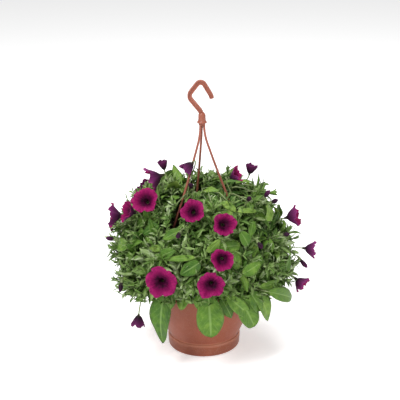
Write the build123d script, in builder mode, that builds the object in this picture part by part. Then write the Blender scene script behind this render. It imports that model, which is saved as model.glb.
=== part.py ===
from build123d import *
import math
import os

# Planted hanging basket: pot, clip-on saucer, three-strand hanger with a swivel hook, and its plants.
#
# Millimetres, +Z up. The origin is the centre of the saucer's underside and +Z is the pot's axis.
# Azimuth is measured anticlockwise from +X, seen from above, and the front of the basket is -Y.

os.makedirs("parts", exist_ok=True)

# ---------------------------------------------------------------- driving dimensions
rim_radius = 125.0
rim_height = 145.0
wall = 1.6

saucer_radius = 70.0
saucer_height = 24.0

swivel_height = 442.0
crest_height = 79.0
rail_radius = 4.0

strand_radius = 2.1
strand_azimuths = {"strand_right": -19.0, "strand_left": -139.0, "strand_back": 101.0}

foliage_core = 55.0
foliage_reach = 103.0
foliage_rise = 125.0
foliage_waist = 200.0
foliage_hem = 118.0
foliage_depth = 34.0

# ---------------------------------------------------------------- pot
pot_floor = 8.0
pot_base_radius = 60.0
band_height = 133.0
band_radius = rim_radius - 10.0
flange_radius = rim_radius - 8.5
flange_under = rim_height - wall
lip_height = 136.0
lug_radius = rim_radius - 4.4
lug_hole_radius = 1.9
clip_neck_radius = 1.7
drain_count = 8
drain_ring_radius = 40.0
drain_radius = 4.0

# ---------------------------------------------------------------- saucer
saucer_foot_radius = 68.5
saucer_edge_radius = 5.0
saucer_floor = 2.0
snap_bead = 1.1
saucer_bevel = 1.6
saucer_bevel_height = 3.0
stand_off_radius = 50.0
stand_off_width = 3.0
stand_off_top = pot_floor - 0.2
stand_off_gap = 14.0

# ---------------------------------------------------------------- hanger
plate_radius = 6.2
plate_thickness = 3.6
plate_top = swivel_height - 0.4
plate_under = plate_top - plate_thickness
neck_radius = 2.45
neck_bore_radius = 2.5
shoulder_top = swivel_height + 8.0
head_radius = 3.8
head_thickness = 3.0
running_gap = 0.05
plate_bevel = 1.0
core_length = 11.0
core_tip_radius = 1.2
strand_gap = 0.1
strand_top_radius = plate_radius - strand_radius
straight_drop = 22.0
strand_knee = (50.0, 296.0)
strand_bends = [100.0, 1500.0, 20.0]
clip_shoulder_radius = 3.2
clip_shoulder_thickness = 2.2
clip_leg = 11.0
barb_radius = 2.5
barb_tip_radius = 1.0
barb_length = 6.5

# ---------------------------------------------------------------- hook
arm_thickness = 8.2
arm_width = 7.0
arm_flange = 1.6
arm_web = 2.4
arm_tip_round = 3.0
crest_centreline = rail_radius + arm_thickness / 2
crest_x = -1.8
crest_z = swivel_height + crest_height - arm_thickness - rail_radius
crest_start = 30.0
crest_sweep = 112.0
free_arm_length = 20.0
tip_bend_radius = 25.0
tip_bend = 22.0
slope_length = 18.0
belly_radius = 12.0
belly_bend = 76.7
shank_length = 23.0
shank_bend_radius = 20.0
shank_bend = crest_start + crest_sweep + belly_bend - 180
bell_height = 19.0
bell_lip_radius = 9.0
bell_lip_height = 1.4
bell_flare_height = 4.5
bell_radius = 7.0
bell_taper = 0.4
bell_crown_height = 4.0
bell_crown_inset = 3.0
collar_thickness = 4.0
head_clearance = 0.4
head_room = 1.0
head_ceiling = shoulder_top + head_thickness + head_room
bell_top = swivel_height + bell_height

# ---------------------------------------------------------------- planting
compost_top = band_height
compost_clearance = 0.5
clump_gap = 2.0
ring_gap = 1.0
crown_rise = 55.0
shoulder_rise = 15.0
parting = 22.0
skirt_inset = 5.0
skirt_step = 3.0
skirt_hem_width = 18.0
skirt_neck = 15.0
skirt_bulge = 20.0
stem_radius = 2.5
stem_bend = 60.0
stem_bend_height = 0.45
stem_bend_reach = 0.2
outer_root_radius = 55.0
outer_root_rise = 35.0
inner_root_radius = 25.0
inner_root_rise = 80.0
stalk_radius = 1.2
calyx_radius = 3.0
face_hollow = 0.3
lip_front = 0.08
lip_back = 0.06
throat_radius = 0.3
throat_depth = 0.5
calyx_share = 0.25
bud_waist = 0.14
bud_foot = 0.06
bud_taper = 0.35
stalk_foot = 2.0
lowest_rise = -36.0

# Each bloom: azimuth and rise of its place on the foliage, how far its face stands off,
# the azimuth and elevation that it faces, and its diameter.
blooms = [
    (-138, 54, 34, -105, 35, 48),
    (-150, 41, 34, -160, 20, 40),
    (-162, 32, 38, 178, 5, 44),
    (-97, 51, 34, -95, 25, 42),
    (-76, 41, 34, -72, 22, 42),
    (-80, 18, 34, -90, 15, 40),
    (-86, 1, 34, -90, 10, 48),
    (-113, 1, 34, -97, 15, 56),
    (-137, -60, 8, -137, -80, 26),
    (-11, 28, 34, -8, 15, 40),
    (-6, 0, 52, -5, -5, 34),
    (-12, -32, 34, -30, -35, 34),
    (-124, 90, 40, -165, -45, 28),
    (147, 76, 34, 180, 80, 18),
    (-165, 70, 34, -175, -20, 32),
    (-34, 81, 34, -15, 30, 30),
    (33, 66, 30, 15, 78, 22),
]

# Each bud: azimuth and rise of its place, how far its tip stands off,
# the azimuth and elevation that it points along, and its length.
buds = [
    (-108, 82, 26, -120, 60, 22),
    (-25, 56, 34, -20, 55, 32),
    (-47, 59, 28, -60, 50, 24),
    (-22, 47, 30, -25, 30, 26),
    (-163, 15, 34, 178, 10, 28),
    (-144, -21, 30, -140, -75, 26),
    (-6, -18, 40, -10, -50, 28),
    (-54, 20, 26, -60, -30, 26),
    (-29, 22, 30, -30, 15, 22),
    (-106, 32, 26, -110, -20, 24),
]

# The far side's blooms are one group: azimuth, rise, stand-off, facing azimuth and elevation, diameter.
far_blooms = [
    (48, -2, 34, 45, 5, 44),
    (62, 14, 34, 62, 10, 50),
    (86, 24, 34, 95, 30, 42),
    (112, 20, 34, 112, 20, 48),
    (132, 30, 34, 135, 30, 40),
    (140, -4, 34, 140, 0, 46),
    (160, 10, 30, 165, 10, 38),
    (88, -14, 34, 85, -10, 42),
    (40, -34, 34, 35, -10, 38),
]


def save(piece, name):
    """Label a finished piece and write it."""
    piece.part.label = name
    export_step(piece.part, f"parts/{name}.step")


def radial_plane(azimuth):
    """The upright half-plane through the pot's axis: local x is outward and local y is up."""
    turn = math.radians(azimuth)
    return Plane(
        origin=(0, 0, 0),
        x_dir=(math.cos(turn), math.sin(turn), 0),
        z_dir=(math.sin(turn), -math.cos(turn), 0),
    )


def direction(azimuth, elevation):
    """A unit vector from its azimuth and elevation."""
    turn = math.radians(azimuth)
    tilt = math.radians(elevation)
    level = math.cos(tilt)
    return Vector(level * math.cos(turn), level * math.sin(turn), math.sin(tilt))


def foliage_point(azimuth, rise, stand_off):
    """A point a given distance outside the foliage: rise is 0 at the waist and 90 on the crown."""
    angle = math.radians(rise)
    outward = math.cos(angle) if rise > 0 else 1.0
    upward = math.sin(angle) if rise > 0 else 0.0
    normal = Vector(outward / foliage_reach, upward / foliage_rise).normalized()
    radius = foliage_core + foliage_reach * outward + stand_off * normal.X
    height = foliage_waist + foliage_rise * math.sin(angle) + stand_off * normal.Y
    return radial_plane(azimuth).from_local_coords(Vector(radius, height))


# ---------------------------------------------------------------- pot and saucer
def make_pot():
    """Thin tapered pot with a straight band, a flat flange and a turned-down lip."""
    with BuildPart() as pot:
        with BuildSketch(Plane.XZ):
            with BuildLine():
                Polyline(
                    (0, pot_floor),
                    (pot_base_radius, pot_floor),
                    (band_radius, band_height),
                    (flange_radius, flange_under),
                    (rim_radius - wall, flange_under),
                    (rim_radius - wall, lip_height),
                    (rim_radius, lip_height),
                    (rim_radius, rim_height),
                    (flange_radius - wall, rim_height),
                    (band_radius - wall, band_height),
                    (pot_base_radius - wall, pot_floor + wall),
                    (0, pot_floor + wall),
                    close=True,
                )
            make_face()
        revolve(axis=Axis.Z)
        with Locations((0, 0, pot_floor)):
            with PolarLocations(drain_ring_radius, drain_count):
                Hole(drain_radius, depth=2 * wall)
        for azimuth in strand_azimuths.values():
            with BuildSketch(Plane.XY.offset(rim_height)):
                with PolarLocations(lug_radius, 1, start_angle=azimuth):
                    Circle(lug_hole_radius)
            extrude(amount=-2 * wall, mode=Mode.SUBTRACT)
    save(pot, "pot")


def make_saucer():
    """Round drip saucer: rounded foot, a snap bead inside its edge, and three stand-off ribs."""
    with BuildPart() as saucer:
        with BuildSketch(Plane.XZ):
            with BuildLine():
                Polyline(
                    (0, 0),
                    (saucer_foot_radius, 0),
                    (saucer_radius, saucer_height - saucer_bevel_height),
                    (saucer_radius - saucer_bevel, saucer_height),
                    (saucer_radius - wall - snap_bead, saucer_height),
                    (saucer_radius - wall - snap_bead, saucer_height - snap_bead),
                    (saucer_radius - wall, saucer_height - 2 * snap_bead),
                    (saucer_foot_radius - wall, saucer_floor),
                    (0, saucer_floor),
                    close=True,
                )
            make_face()
        revolve(axis=Axis.Z)
        foot = saucer.edges().filter_by(GeomType.CIRCLE).group_by(Axis.Z)[0]
        fillet(foot, saucer_edge_radius)
        with BuildSketch(Plane.XY.offset(saucer_floor)):
            Circle(stand_off_radius)
            Circle(stand_off_radius - stand_off_width, mode=Mode.SUBTRACT)
            for azimuth in strand_azimuths.values():
                with PolarLocations(stand_off_radius, 1, start_angle=azimuth):
                    Rectangle(4 * stand_off_width, stand_off_gap, mode=Mode.SUBTRACT)
        extrude(amount=stand_off_top - saucer_floor)
    save(saucer, "saucer")


# ---------------------------------------------------------------- hanger
def hook_centreline():
    """Middle line of the hook: crest, free arm down the right, slope, belly, shank. Gives the tip."""
    crest = CenterArc((crest_x, crest_z), crest_centreline, crest_start, crest_sweep)
    free_arm = Line(crest @ 0, crest @ 0 - (crest % 0) * free_arm_length)
    tip = JernArc(free_arm @ 1, free_arm % 1, radius=tip_bend_radius, arc_size=-tip_bend)
    slope = Line(crest @ 1, crest @ 1 + (crest % 1) * slope_length)
    belly = JernArc(slope @ 1, slope % 1, radius=belly_radius, arc_size=belly_bend)
    shank = Line(belly @ 1, belly @ 1 + (belly % 1) * shank_length)
    JernArc(shank @ 1, shank % 1, radius=shank_bend_radius, arc_size=-shank_bend)
    return tip @ 1


def make_hook():
    """Swivel hook: an I-section arm over a hollow bell that turns on the hanger's neck."""
    with BuildPart() as hook:
        with BuildSketch(Plane.XZ) as arm:
            with BuildLine():
                tip = hook_centreline()
            trace(line_width=arm_thickness)
            fillet(arm.vertices().sort_by_distance(tip)[:2], arm_tip_round)
        extrude(amount=arm_width / 2, both=True)
        for side in (-1, 1):
            with BuildSketch(Plane.XZ.offset(side * arm_web / 2)):
                with BuildLine():
                    hook_centreline()
                trace(line_width=arm_thickness - 2 * arm_flange)
            extrude(amount=side * arm_width, mode=Mode.SUBTRACT)
        with BuildSketch(Plane.XZ):
            with BuildLine():
                Polyline(
                    (0, bell_top),
                    (0, head_ceiling),
                    (head_radius + head_clearance, head_ceiling),
                    (head_radius + head_clearance, shoulder_top),
                    (neck_bore_radius, shoulder_top),
                    (neck_bore_radius, shoulder_top - collar_thickness),
                    (bell_radius - wall, shoulder_top - collar_thickness),
                    (bell_radius - wall, swivel_height),
                    (bell_lip_radius, swivel_height),
                    (bell_lip_radius, swivel_height + bell_lip_height),
                    (bell_radius, swivel_height + bell_flare_height),
                    (bell_radius - bell_taper, bell_top - bell_crown_height),
                    (bell_radius - bell_crown_inset, bell_top),
                    close=True,
                )
            make_face()
        revolve(axis=Axis.Z)
    save(hook, "hook")


def make_hanger_root():
    """Moulded root of the strands: plate and core below, and a headed neck held in the bell."""
    with BuildPart() as root:
        with BuildSketch(Plane.XZ):
            with BuildLine():
                Polyline(
                    (0, plate_under - core_length),
                    (core_tip_radius, plate_under - core_length),
                    (strand_top_radius - strand_radius - strand_gap, plate_under),
                    (plate_radius, plate_under),
                    (plate_radius, plate_top - plate_bevel),
                    (neck_radius, plate_top),
                    (neck_radius, shoulder_top + running_gap),
                    (head_radius, shoulder_top + running_gap),
                    (neck_radius, shoulder_top + head_thickness),
                    (0, shoulder_top + head_thickness),
                    close=True,
                )
            make_face()
        revolve(axis=Axis.Z)
    save(root, "hanger_root")


def make_strand(name, azimuth):
    """One hanger strand: a round rod from the root to a shouldered, barbed clip in the rim."""
    plane = radial_plane(azimuth)
    shoulder_height = rim_height + clip_shoulder_thickness
    barb_tip = rim_height - barb_length
    with BuildPart() as strand:
        with BuildLine(plane):
            FilletPolyline(
                (strand_top_radius, plate_under),
                (strand_top_radius, swivel_height - straight_drop),
                strand_knee,
                (lug_radius, shoulder_height + clip_leg),
                (lug_radius, shoulder_height),
                radius=strand_bends,
            )
        with BuildSketch(Plane.XY.offset(plate_under)):
            with PolarLocations(strand_top_radius, 1, start_angle=azimuth):
                Circle(strand_radius)
        sweep()
        with BuildSketch(plane):
            with BuildLine():
                Polyline(
                    (lug_radius, shoulder_height),
                    (lug_radius + clip_shoulder_radius, shoulder_height),
                    (lug_radius + clip_shoulder_radius, rim_height),
                    (lug_radius + clip_neck_radius, rim_height),
                    (lug_radius + clip_neck_radius, flange_under - strand_gap),
                    (lug_radius + barb_radius, flange_under - strand_gap),
                    (lug_radius + barb_tip_radius, barb_tip),
                    (lug_radius, barb_tip),
                    close=True,
                )
            make_face()
        revolve(axis=Axis(plane.from_local_coords(Vector(lug_radius, 0)), (0, 0, 1)))
    save(strand, name)


# ---------------------------------------------------------------- planting
def make_compost():
    """Root ball and compost: fills the pot to the foot of its band."""
    slope = (band_radius - pot_base_radius) / (band_height - pot_floor)
    base = pot_floor + wall + compost_clearance
    base_radius = pot_base_radius - wall - compost_clearance + slope * (base - pot_floor - wall)
    with BuildPart() as compost:
        with BuildSketch(Plane.XZ):
            with BuildLine():
                Polyline(
                    (0, base),
                    (base_radius - compost_clearance, base),
                    (band_radius - wall - 2 * compost_clearance, compost_top),
                    (0, compost_top),
                    close=True,
                )
            make_face()
        revolve(axis=Axis.Z)
    save(compost, "compost")


def foliage_arc(depth, low, high):
    """Part of the foliage's quarter ellipse, a given depth inside its outer surface."""
    return EllipticalCenterArc(
        (foliage_core, foliage_waist),
        foliage_reach - depth,
        foliage_rise - depth,
        start_angle=low,
        arc_size=high - low,
    )


def crown_section():
    """Top of the foliage, from beside the axis over to the shoulder."""
    outer = foliage_arc(0, crown_rise + ring_gap, 90)
    inner = foliage_arc(foliage_depth, crown_rise + ring_gap, 90)
    Line(outer @ 0, inner @ 0)
    Polyline(
        outer @ 1,
        (foliage_core / 4, foliage_waist + foliage_rise),
        (foliage_core / 4, foliage_waist + foliage_rise - foliage_depth),
        inner @ 1,
    )


def shoulder_section():
    """The sloping part of the foliage between crown and skirt."""
    outer = foliage_arc(0, shoulder_rise + ring_gap, crown_rise - ring_gap)
    inner = foliage_arc(foliage_depth, shoulder_rise + ring_gap, crown_rise - ring_gap)
    Line(outer @ 0, inner @ 0)
    Line(outer @ 1, inner @ 1)


def skirt_section():
    """The foliage that stands round the rim and hangs below it, clear of the lip."""
    outer = foliage_arc(0, 0, shoulder_rise - ring_gap)
    inner = foliage_arc(foliage_depth, 0, shoulder_rise - ring_gap)
    Line(outer @ 1, inner @ 1)
    inside = rim_radius + skirt_inset
    hem_edge = (inside + skirt_hem_width, foliage_hem)
    bulge = (foliage_core + foliage_reach, rim_height + skirt_bulge)
    Polyline(inner @ 0, (inside, rim_height + skirt_neck), (inside + skirt_step, foliage_hem), hem_edge)
    TangentArc(bulge, hem_edge, tangent=(0, -1))
    Line(bulge, outer @ 0)


def make_clump(name, section, start, span):
    """One clump of leaves: a slice of a foliage ring, cut back where the strands come through."""
    with BuildPart() as clump:
        with BuildSketch(radial_plane(start + clump_gap / 2)):
            with BuildLine():
                section()
            make_face()
        revolve(axis=Axis.Z, revolution_arc=span - clump_gap)
        for azimuth in strand_azimuths.values():
            middle = foliage_waist + foliage_rise / 2
            with Locations(Location((0, 0, middle), (0, 0, azimuth))):
                Box(
                    2 * foliage_reach,
                    parting,
                    2 * foliage_rise,
                    align=(Align.MIN, Align.CENTER, Align.CENTER),
                    mode=Mode.SUBTRACT,
                )
    save(clump, name)


def make_ring(name, section, count):
    """A ring of clumps, in equal slices that begin at a strand."""
    span = 360 / count
    first = min(strand_azimuths.values())
    for number in range(count):
        make_clump(f"{name}_{number + 1}", section, first + number * span, span)


def make_stem(name, azimuth, root_radius, foot_rise):
    """One main stem, from the compost to just inside the clump that it carries."""
    angle = math.radians(foot_rise)
    inside = foliage_depth + stem_radius
    tip_radius = foliage_core + (foliage_reach - inside) * math.cos(angle)
    tip_height = foliage_waist + (foliage_rise - inside) * math.sin(angle)
    bend_height = compost_top + stem_bend_height * (tip_height - compost_top)
    plane = radial_plane(azimuth)
    with BuildPart() as stem:
        with BuildLine(plane):
            FilletPolyline(
                (root_radius, compost_top),
                (root_radius + stem_bend_reach * (tip_radius - root_radius), bend_height),
                (tip_radius, tip_height),
                radius=stem_bend,
            )
        with BuildSketch(Plane.XY.offset(compost_top)):
            with PolarLocations(root_radius, 1, start_angle=azimuth):
                Circle(stem_radius)
        sweep()
    save(stem, name)


def make_stems():
    """Nine main stems: two to the shoulder and one to the crown in each gap between strands."""
    first = min(strand_azimuths.values())
    gap = 360 / len(strand_azimuths)
    places = []
    for number in range(len(strand_azimuths)):
        gap_start = first + gap * number
        places.append((gap_start + gap / 4, outer_root_radius, outer_root_rise))
        places.append((gap_start + gap / 2, inner_root_radius, inner_root_rise))
        places.append((gap_start + gap * 3 / 4, outer_root_radius, outer_root_rise))
    for number, (azimuth, root_radius, rise) in enumerate(places):
        make_stem(f"stem_{number + 1}", azimuth, root_radius, rise)


def facing_plane(point, facing):
    """Sketch plane through a flower's axis: local y is the way that it faces."""
    side = facing.cross(Vector(0, 0, 1)).normalized()
    return Plane(origin=point, x_dir=side, z_dir=side.cross(facing))


def trumpet_outline(diameter):
    """Half section of an open flower: flared face, narrow tube and calyx."""
    radius = diameter / 2
    tube = trumpet_depth(diameter)
    Polyline(
        (0, -face_hollow * radius),
        (radius, lip_front * radius),
        (radius, -lip_back * radius),
        (throat_radius * radius, -throat_depth * radius),
        (calyx_radius, (calyx_share - 1) * tube),
        (calyx_radius, -tube),
        (0, -tube),
        close=True,
    )


def trumpet_depth(diameter):
    """Length of an open flower from its face to its stalk."""
    return 0.35 * diameter + 12


def spindle_outline(length):
    """Half section of a closed flower: slim, with a blunt tip and a tapered foot."""
    waist = bud_waist * length
    foot = bud_foot * length
    Polyline(
        (0, 0),
        (foot / 2, 0),
        (waist, -bud_taper * length),
        (waist, (bud_taper - 1) * length),
        (foot, -length),
        (0, -length),
        close=True,
    )


def make_flower(place, facing_angles, outline, size, depth):
    """A flower on its stalk: an outline turned about the way it faces, joined to the foliage."""
    azimuth, rise, stand_off = place
    front = foliage_point(azimuth, rise, stand_off)
    facing = direction(*facing_angles)
    stalk_start = front - facing * (depth - stalk_foot)
    stalk_end = foliage_point(azimuth, max(rise, lowest_rise), stalk_foot)
    with BuildPart() as flower:
        with BuildSketch(facing_plane(front, facing)):
            with BuildLine():
                outline(size)
            make_face()
        revolve(axis=Axis(front, facing))
        with BuildLine():
            Line(stalk_start, stalk_end)
        with BuildSketch(Plane(origin=stalk_start, z_dir=stalk_end - stalk_start)):
            Circle(stalk_radius)
        sweep()
    return flower


def make_bloom(azimuth, rise, stand_off, face_azimuth, face_elevation, diameter):
    """An open flower."""
    place = (azimuth, rise, stand_off)
    facing_angles = (face_azimuth, face_elevation)
    return make_flower(place, facing_angles, trumpet_outline, diameter, trumpet_depth(diameter))


def make_bud(azimuth, rise, stand_off, tip_azimuth, tip_elevation, length):
    """A closed flower."""
    place = (azimuth, rise, stand_off)
    return make_flower(place, (tip_azimuth, tip_elevation), spindle_outline, length, length)


def make_far_blooms():
    """The open flowers on the far side, as one group of separate solids."""
    flowers = [make_bloom(*bloom_place).part for bloom_place in far_blooms]
    with BuildPart() as group:
        add(flowers)
    save(group, "blooms_back")


make_pot()
make_saucer()
make_hook()
make_hanger_root()
for strand_name, strand_azimuth in strand_azimuths.items():
    make_strand(strand_name, strand_azimuth)
make_compost()
make_ring("leaves_crown", crown_section, 3)
make_ring("leaves_shoulder", shoulder_section, 6)
make_ring("leaves_skirt", skirt_section, 6)
make_stems()
for number, bloom_place in enumerate(blooms):
    save(make_bloom(*bloom_place), f"bloom_{number + 1:02d}")
for number, bud_place in enumerate(buds):
    save(make_bud(*bud_place), f"bud_{number + 1:02d}")
make_far_blooms()
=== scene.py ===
"""Looks of the planted hanging basket: leafy shoots, petunia flowers, buds, compost and moulded plastic.

Metres, in the CAD frame: +Z up, the front of the basket is -Y, azimuth anticlockwise from +X.
"""

import math

import bpy
import numpy as np
from mathutils import Matrix, Vector


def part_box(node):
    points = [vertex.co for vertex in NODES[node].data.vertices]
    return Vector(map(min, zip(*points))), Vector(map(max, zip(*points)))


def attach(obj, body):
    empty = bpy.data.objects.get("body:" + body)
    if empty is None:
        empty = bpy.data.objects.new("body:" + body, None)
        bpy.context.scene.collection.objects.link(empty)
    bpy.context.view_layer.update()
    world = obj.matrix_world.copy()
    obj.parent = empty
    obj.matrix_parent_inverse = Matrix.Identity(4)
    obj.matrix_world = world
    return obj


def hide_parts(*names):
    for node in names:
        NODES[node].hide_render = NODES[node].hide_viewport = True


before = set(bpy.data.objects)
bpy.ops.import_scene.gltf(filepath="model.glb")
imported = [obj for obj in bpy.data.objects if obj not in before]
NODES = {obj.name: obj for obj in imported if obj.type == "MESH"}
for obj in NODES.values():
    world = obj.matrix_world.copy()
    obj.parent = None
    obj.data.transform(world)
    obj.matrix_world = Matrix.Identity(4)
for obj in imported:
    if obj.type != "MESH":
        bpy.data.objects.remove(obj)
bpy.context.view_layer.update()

MM = 0.001
UP = np.array([0.0, 0.0, 1.0])
GOLDEN_ANGLE = math.radians(137.5)
FULL_TURN = 2 * math.pi
ANY_TURN = (0, 6.28)

# The camera stands two metres in front of the foliage's middle and aims a little to its left.
VIEW_DISTANCE = 2.0
VIEW_PITCH = math.radians(20.4)
VIEW_HEIGHT = 0.25
VIEW_ROLL = math.radians(-0.6)
AIM_PITCH = math.radians(19.25)
AIM_ASIDE = -0.0051
LENS = 95.6
FILM_WIDTH = 36.0
VIEWPOINT = np.array([
    0.0,
    -VIEW_DISTANCE * math.cos(VIEW_PITCH),
    VIEW_HEIGHT + VIEW_DISTANCE * math.sin(VIEW_PITCH),
])

# Softboxes: place, size and power. All point at the middle of the basket.
SOFTBOXES = {
    "key": ((-1.1, -1.7, 2.5), 1.0, 70),
    "fill": ((2.2, -1.6, 1.3), 1.4, 16),
    "top": ((0.3, 0.9, 2.8), 1.4, 50),
}
FLOOR_HALF = 15.0
FLOOR_GREY = 0.92
FLOOR_GLOW = 0.45
SURROUND_LIGHT = 0.33

POT_HIGH = np.array(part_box("pot")[1])
SAUCER_HIGH = np.array(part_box("saucer")[1])
RIM_HEIGHT = POT_HIGH[2]
SEAM = float(SAUCER_HIGH[2])
RIM_RADIUS = POT_HIGH[0]
# A place inside the foliage that its leaves, shoots and stalks point away from.
CORE = np.array([0.0, 0.0, RIM_HEIGHT + 0.03])
LEAF_NODES = sorted(name for name in NODES if name.startswith("leaves_"))
STRAND_NODES = sorted(name for name in NODES if name.startswith("strand_"))

# The way each flower faces and each bud points: azimuth and elevation in degrees.
# A flower's third value is how far it has opened: 0 is a furled funnel and 1 a flat face.
BLOOM_FACING = {
    "bloom_01": (-105, 35, 0.8), "bloom_02": (-160, 20, 0.5), "bloom_03": (178, 5, 0.5),
    "bloom_04": (-95, 25, 0.8), "bloom_05": (-72, 22, 0.7), "bloom_06": (-90, 15, 0.6),
    "bloom_07": (-90, 10, 0.8), "bloom_08": (-97, 15, 0.9), "bloom_09": (-137, -80, 0.1),
    "bloom_10": (-8, 15, 0.3), "bloom_11": (-5, -5, 0.3), "bloom_12": (-30, -35, 0.3),
    "bloom_13": (-165, -45, 0.1), "bloom_14": (180, 80, 0.0), "bloom_15": (-175, -20, 0.4),
    "bloom_16": (-15, 30, 0.4), "bloom_17": (15, 78, 0.1),
}
FAR_FACING = [(45, 5), (62, 10), (95, 30), (112, 20), (135, 30), (140, 0), (165, 10), (85, -10), (35, -10)]
FAR_OPEN = 0.8
# Below this openness a flower has wilted: its colour stops short of the rim's and both sides are dark.
WILTED = 0.15
WILTED_REACH = 0.72
# How much of its colour a bud shows: old ones have withered to a dull dark purple.
BUD_COLOUR = {"bud_02": 0.55, "bud_05": 0.45, "bud_07": 0.6}
WITHERED = 0.32
BUD_POINTING = {
    "bud_01": (-120, 60), "bud_02": (-20, 55), "bud_03": (-60, 50), "bud_04": (-25, 30),
    "bud_05": (178, 10), "bud_06": (-140, -75), "bud_07": (-10, -50), "bud_08": (-60, -30),
    "bud_09": (-30, 15), "bud_10": (-110, -20),
}


# ---- camera, light and floor
def add_object(name, data):
    """A new object in the scene."""
    made = bpy.data.objects.new(name, data)
    bpy.context.scene.collection.objects.link(made)
    return made


def add_camera():
    """Camera in front of the basket, about 20 degrees above it, two metres away."""
    place = Vector(VIEWPOINT)
    aim = Vector((AIM_ASIDE, 0.0, place.z + place.y * math.tan(AIM_PITCH)))
    data = bpy.data.cameras.new("camera")
    data.lens = LENS
    data.sensor_width = FILM_WIDTH
    data.clip_end = 10 * VIEW_DISTANCE
    camera = add_object("camera", data)
    turn = (aim - place).to_track_quat("-Z", "Y").to_matrix().to_4x4()
    camera.matrix_world = Matrix.Translation(place) @ turn @ Matrix.Rotation(VIEW_ROLL, 4, "Z")
    bpy.context.scene.camera = camera


def add_softbox(name, place, size, power, target):
    """A square area light that points at the basket."""
    data = bpy.data.lights.new(name, "AREA")
    data.shape = "SQUARE"
    data.size = size
    data.energy = power
    lamp = add_object(name, data)
    lamp.location = place
    lamp.rotation_euler = (Vector(target) - Vector(place)).to_track_quat("-Z", "Y").to_euler()


def add_studio():
    """Plain pale floor, white surroundings and three softboxes."""
    half = FLOOR_HALF
    mesh = bpy.data.meshes.new("floor")
    corners = [(-half, -half, 0), (half, -half, 0), (half, half, 0), (-half, half, 0)]
    mesh.from_pydata(corners, [], [(0, 1, 2, 3)])
    floor = add_object("floor", mesh)
    material, shader = new_material("floor", 0.9)
    shader.inputs["Base Color"].default_value = (FLOOR_GREY, FLOOR_GREY, FLOOR_GREY, 1)
    shader.inputs["Specular IOR Level"].default_value = 0.0
    shader.inputs["Emission Color"].default_value = (1, 1, 1, 1)
    shader.inputs["Emission Strength"].default_value = FLOOR_GLOW
    mesh.materials.append(material)
    for name, (place, size, power) in SOFTBOXES.items():
        add_softbox(name, place, size, power, (0, 0, VIEW_HEIGHT))
    world = bpy.data.worlds.new("studio")
    bpy.context.scene.world = world
    world.use_nodes = True
    world.node_tree.nodes["Background"].inputs["Color"].default_value = (1, 1, 1, 1)
    world.node_tree.nodes["Background"].inputs["Strength"].default_value = SURROUND_LIGHT
    bpy.context.scene.view_settings.view_transform = "Standard"


# ---- material helpers
def new_material(name, roughness):
    """A node material with one Principled shader."""
    material = bpy.data.materials.new(name)
    material.use_nodes = True
    shader = material.node_tree.nodes["Principled BSDF"]
    shader.inputs["Roughness"].default_value = roughness
    return material, shader


class Graph:
    """Short calls that add nodes to one material."""

    def __init__(self, material):
        self.tree = material.node_tree

    def node(self, kind, inputs=None, **settings):
        made = self.tree.nodes.new(kind)
        for key, value in settings.items():
            setattr(made, key, value)
        for key, value in (inputs or {}).items():
            self.set(made.inputs[key], value)
        return made

    def set(self, socket, value):
        if isinstance(value, bpy.types.NodeSocket):
            self.tree.links.new(value, socket)
        else:
            socket.default_value = value

    def math(self, operation, first, second=0.0):
        return self.node("ShaderNodeMath", {0: first, 1: second}, operation=operation).outputs[0]

    def noise(self, vector, scale, detail=3.0, roughness=0.5):
        inputs = {"Vector": vector, "Scale": scale, "Detail": detail, "Roughness": roughness}
        return self.node("ShaderNodeTexNoise", inputs).outputs["Fac"]

    def mix(self, factor, first, second, blend="MIX"):
        made = self.node("ShaderNodeMix", data_type="RGBA", blend_type=blend)
        self.set(made.inputs["Factor"], factor)
        self.set(made.inputs["A"], first)
        self.set(made.inputs["B"], second)
        return made.outputs["Result"]

    def ramp(self, factor, stops):
        made = self.node("ShaderNodeValToRGB", {"Fac": factor})
        ramp = made.color_ramp
        while len(ramp.elements) < len(stops):
            ramp.elements.new(0.5)
        for element, (place, colour) in zip(ramp.elements, stops):
            element.position = place
            element.color = (*colour, 1)
        return made.outputs["Color"]

    def range(self, value, low, high, to_low=0.0, to_high=1.0):
        inputs = {"Value": value, "From Min": low, "From Max": high, "To Min": to_low, "To Max": to_high}
        return self.node("ShaderNodeMapRange", inputs).outputs["Result"]

    def position(self):
        return self.node("ShaderNodeTexCoord").outputs["Object"]

    def own(self, name):
        """The three values that a mesh carries at each point under that name."""
        vector = self.node("ShaderNodeAttribute", attribute_name=name).outputs["Vector"]
        parts = self.node("ShaderNodeSeparateXYZ", {0: vector})
        return parts.outputs[0], parts.outputs[1], parts.outputs[2]

    def surface(self, shader, colour, roughness, height, strength, distance):
        """Give a shader its colour and roughness, and a relief of a strength and a depth."""
        bump = self.node("ShaderNodeBump", {"Height": height, "Strength": strength, "Distance": distance})
        made = {"Base Color": colour, "Roughness": roughness, "Normal": bump.outputs["Normal"]}
        for name, value in made.items():
            self.set(shader.inputs[name], value)


SPECKLE_COLOUR = (0.62, 0.42, 0.33, 1)
SCUFF_COLOUR = (0.42, 0.25, 0.19, 1)
# Painted light along the seam between pot and saucer: its colour, and how strongly it covers the plastic.
SEAM_LIGHT_COLOUR = (0.62, 0.26, 0.17, 1)
SEAM_LIGHT_STRENGTH = 0.65
# The painted light lightens the shade in the seam's groove. It is at its strongest up to the first distance
# from the seam and gone by the second.
SEAM_LIGHT_FADE = (0.001, 0.005)


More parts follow.
